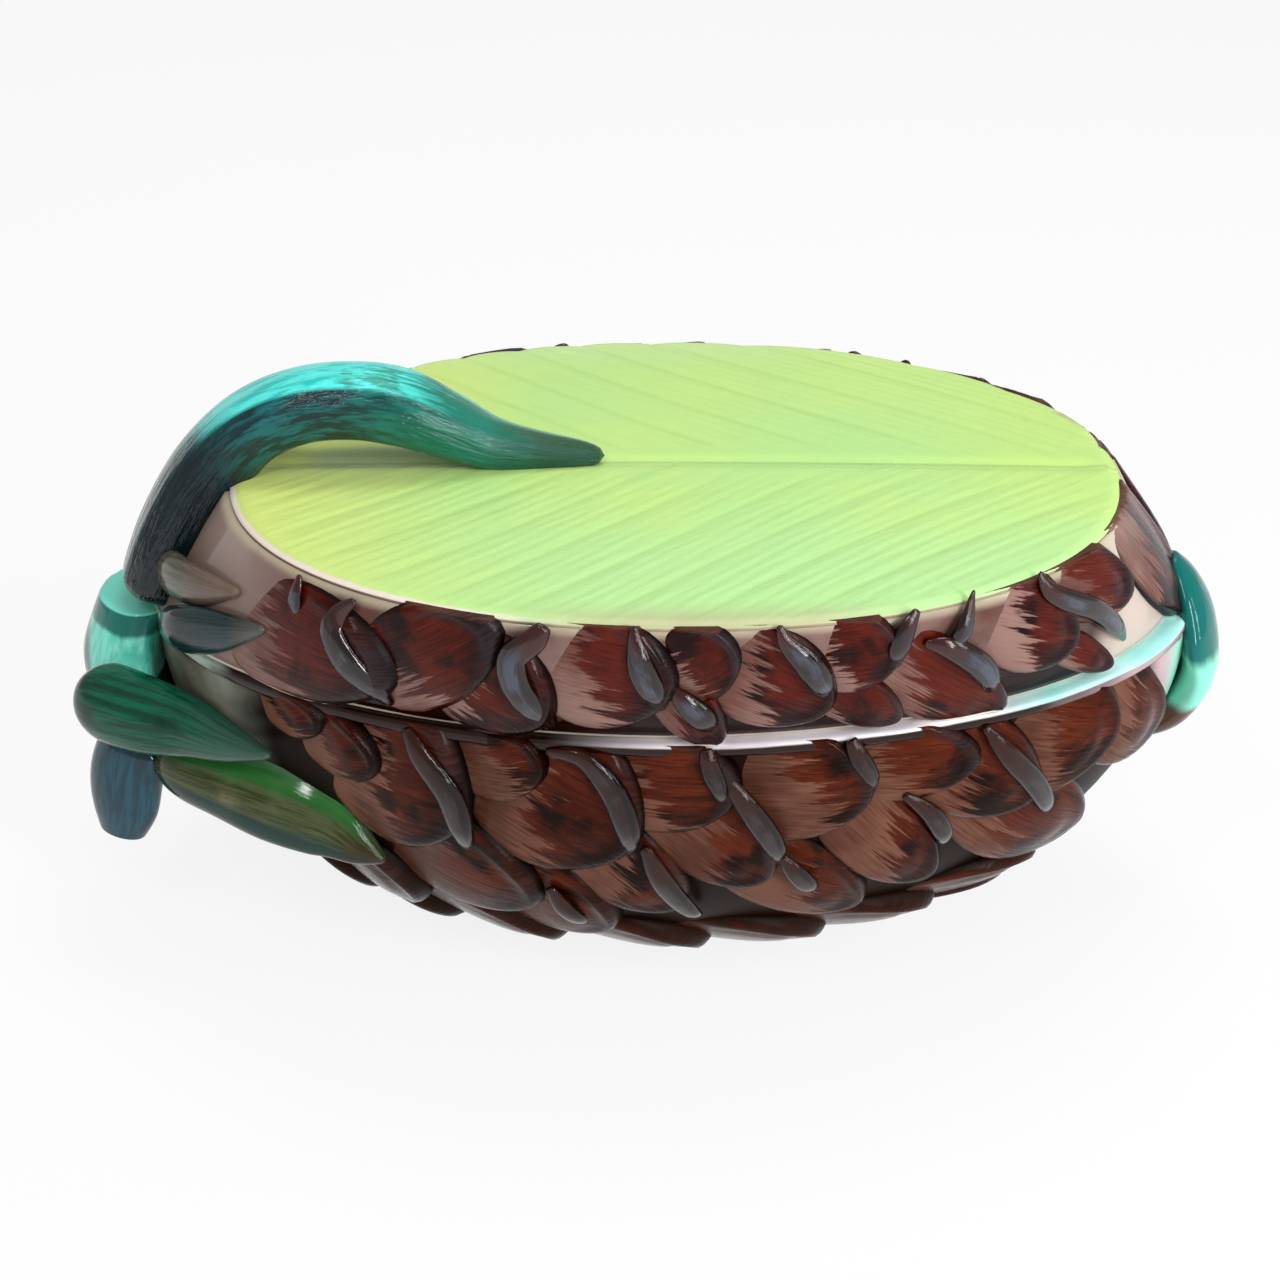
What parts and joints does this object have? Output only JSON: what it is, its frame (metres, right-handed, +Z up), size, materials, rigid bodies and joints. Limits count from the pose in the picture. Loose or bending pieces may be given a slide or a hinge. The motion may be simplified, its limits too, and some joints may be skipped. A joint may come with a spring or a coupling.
{
  "type": "covered serving dish",
  "caption": "Lidded oval ceramic tureen shaped as a pineapple on its side, with scaled walls, a leaf-carved lid, an arched leaf handle and crown leaves.",
  "frame": {"origin": "middle of the overall box, at the table", "axes": "+X along the fruit towards the stem end, +Y towards the back, +Z up"},
  "size_m": [0.29, 0.1754, 0.1459],
  "materials": {
    "brown_glaze": "glossy hand-painted brown scales over a pale ground",
    "ledge_glaze": "glossy pale pink glaze",
    "foot_clay": "unglazed matt clay",
    "lime_glaze": "satin-gloss lime glaze over carved veins",
    "teal_glaze": "glossy painted dark teal",
    "olive_glaze": "glossy painted olive and green",
    "mint_glaze": "glossy mint with green patches",
    "slate_glaze": "glossy slate grey"
  },
  "bodies": {
    "base": {"base_bowl": "brown_glaze", "gallery_rim": "ledge_glaze", "foot_ring": "foot_clay", "crown_leaf_front_upper": "teal_glaze", "crown_leaf_front_lower": "olive_glaze", "crown_leaf_back_upper": "teal_glaze", "crown_leaf_back_lower": "olive_glaze", "crown_leaf_end": "mint_glaze", "crown_leaf_hanging": "teal_glaze", "stem_leaf": "teal_glaze"},
    "lid": {"lid_wall": "brown_glaze", "lid_leaf_panel": "lime_glaze", "lid_flange": "ledge_glaze", "handle_leaf": "teal_glaze", "lid_leaf_front_lower": "slate_glaze", "lid_leaf_front_upper": "olive_glaze", "lid_leaf_back_lower": "slate_glaze", "lid_leaf_back_upper": "olive_glaze"}
  },
  "joints": [
    {"name": "lid_lift", "type": "slide", "parent": "base", "child": "lid", "axis": [0, 0, 1], "range_m": [0, 0.08]}
  ]
}
